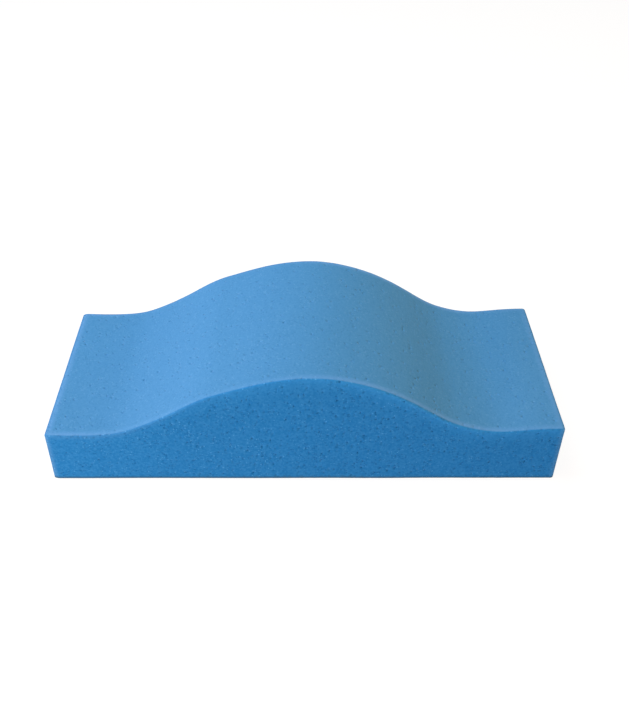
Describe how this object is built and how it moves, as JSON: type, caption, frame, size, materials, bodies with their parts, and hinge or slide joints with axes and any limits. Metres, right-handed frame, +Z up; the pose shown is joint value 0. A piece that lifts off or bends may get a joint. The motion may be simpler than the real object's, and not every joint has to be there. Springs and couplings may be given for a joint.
{
  "type": "contoured foam knee pillow",
  "caption": "Bare foam block cut along a wavy contour: a low left shelf, a high middle hump to carry the backs of the knees, a trough and a slightly raised right end.",
  "frame": {"origin": "middle of the flat base, on the surface that the pad rests on", "axes": "+X along the pad from the low left shelf to the right end, +Y from the front face to the back face, +Z up"},
  "size_m": [0.5, 0.2, 0.13],
  "materials": {
    "foam": "matt open-cell foam, sawn, medium blue"
  },
  "bodies": {
    "root": {"foam_block": "foam"}
  },
  "joints": []
}
